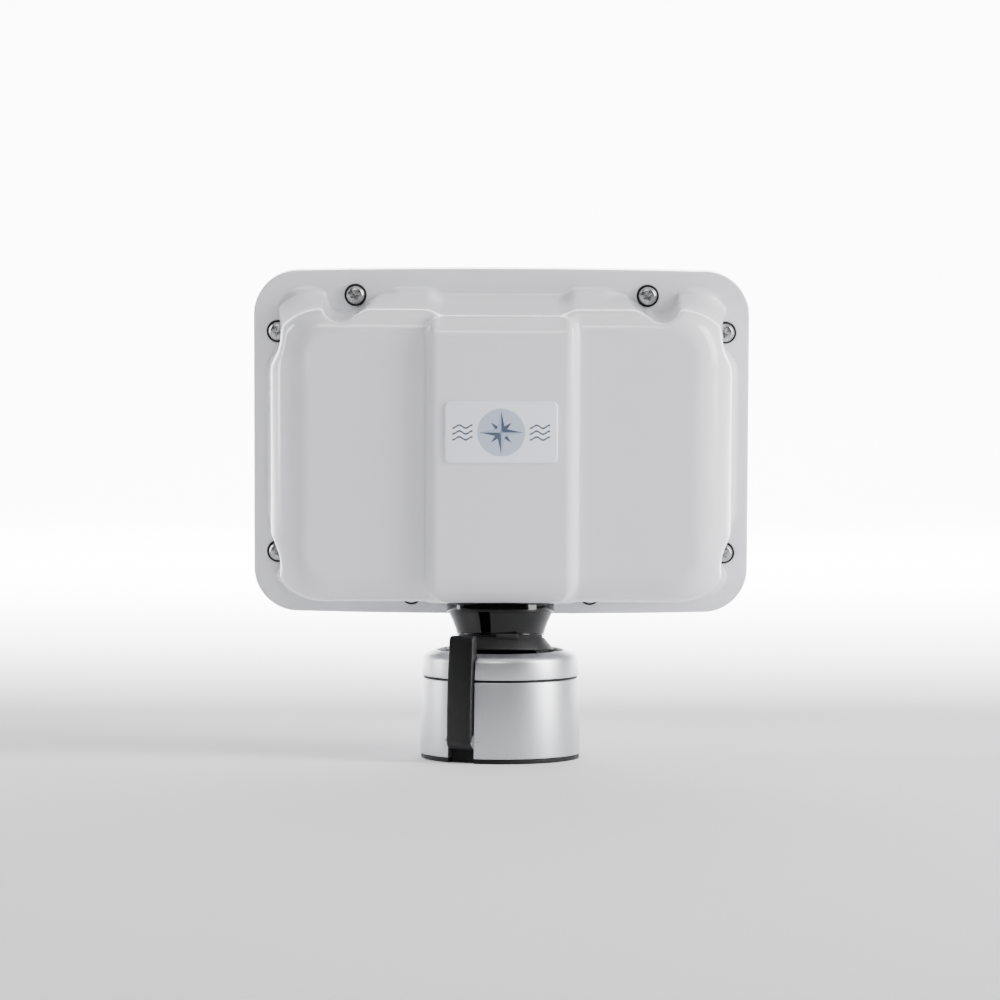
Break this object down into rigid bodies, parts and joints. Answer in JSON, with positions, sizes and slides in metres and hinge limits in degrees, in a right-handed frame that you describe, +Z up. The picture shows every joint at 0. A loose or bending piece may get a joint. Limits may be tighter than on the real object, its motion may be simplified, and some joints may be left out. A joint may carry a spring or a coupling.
{
  "type": "marine display pod on deck mount",
  "caption": "White screwed instrument pod on a tilting, turning ball neck in a round deck housing with a cam lock lever.",
  "frame": {"origin": "centre of the deck bolt circle, on the underside of the gasket", "axes": "+Z up from the deck; -Y towards the domed rear shell with the badge; +Y towards the flat front panel; +X to the right seen from the rear"},
  "size_m": [0.275, 0.1021, 0.2699],
  "materials": {
    "case": "gloss",
    "neck_gloss": "gloss",
    "neck_matte": "matte",
    "housing": "satin",
    "lever": "satin",
    "rubber": "matte",
    "bearing": "matte",
    "washer_white": "matte",
    "cup": "satin",
    "steel": "satin",
    "screw_steel": "satin",
    "insert_brass": "satin",
    "shoe_bronze": "satin",
    "badge": "gloss"
  },
  "bodies": {
    "base": {"base_gasket": "rubber", "base_housing": "housing", "bearing_liner": "bearing", "thrust_washer": "washer_white", "socket_ring": "bearing", "cap_seal": "rubber", "clamp_cap": "housing", "cap_screws": "steel", "lever_pin": "steel", "lever_spacers": "steel"},
    "swivel": {"swivel_cup": "cup", "tilt_pins": "steel"},
    "pod": {"ball_stem": "neck_gloss", "neck_skirt": "neck_matte", "waist_ring": "rubber", "index_key": "neck_matte", "neck_trumpet": "neck_gloss", "pod_collar": "neck_gloss", "rear_shell": "case", "mounting_plate": "steel", "plate_bolts": "steel", "stem_washer": "steel", "stem_nut": "steel", "badge": "badge", "shell_screws": "screw_steel", "sealing_washers": "rubber", "panel_seal": "rubber", "thread_inserts": "insert_brass", "front_panel": "case", "breather_plug": "case"},
    "lever": {"clamp_lever": "lever"},
    "shoe": {"clamp_shoe": "shoe_bronze"}
  },
  "joints": [
    {"name": "swivel", "type": "hinge", "parent": "base", "child": "swivel", "pos_m": [0, 0, 0.0395], "axis": [0, 0, 1], "continuous": true},
    {"name": "tilt", "type": "hinge", "parent": "swivel", "child": "pod", "pos_m": [0, 0, 0.0395], "axis": [1, 0, 0], "range_deg": [-5, 19]},
    {"name": "lever_release", "type": "hinge", "parent": "base", "child": "lever", "pos_m": [-0.0204, -0.03591, 0.012], "axis": [0.8695, -0.4939, 0], "range_deg": [0, 85]},
    {"name": "shoe_slide", "type": "slide", "parent": "base", "child": "shoe", "axis": [-0.4939, -0.8695, 0], "range_m": [0, 0.00075]}
  ],
  "couplings": [
    {"joint": "shoe_slide", "follows": "lever_release", "m_per_rad": 0.0005}
  ]
}
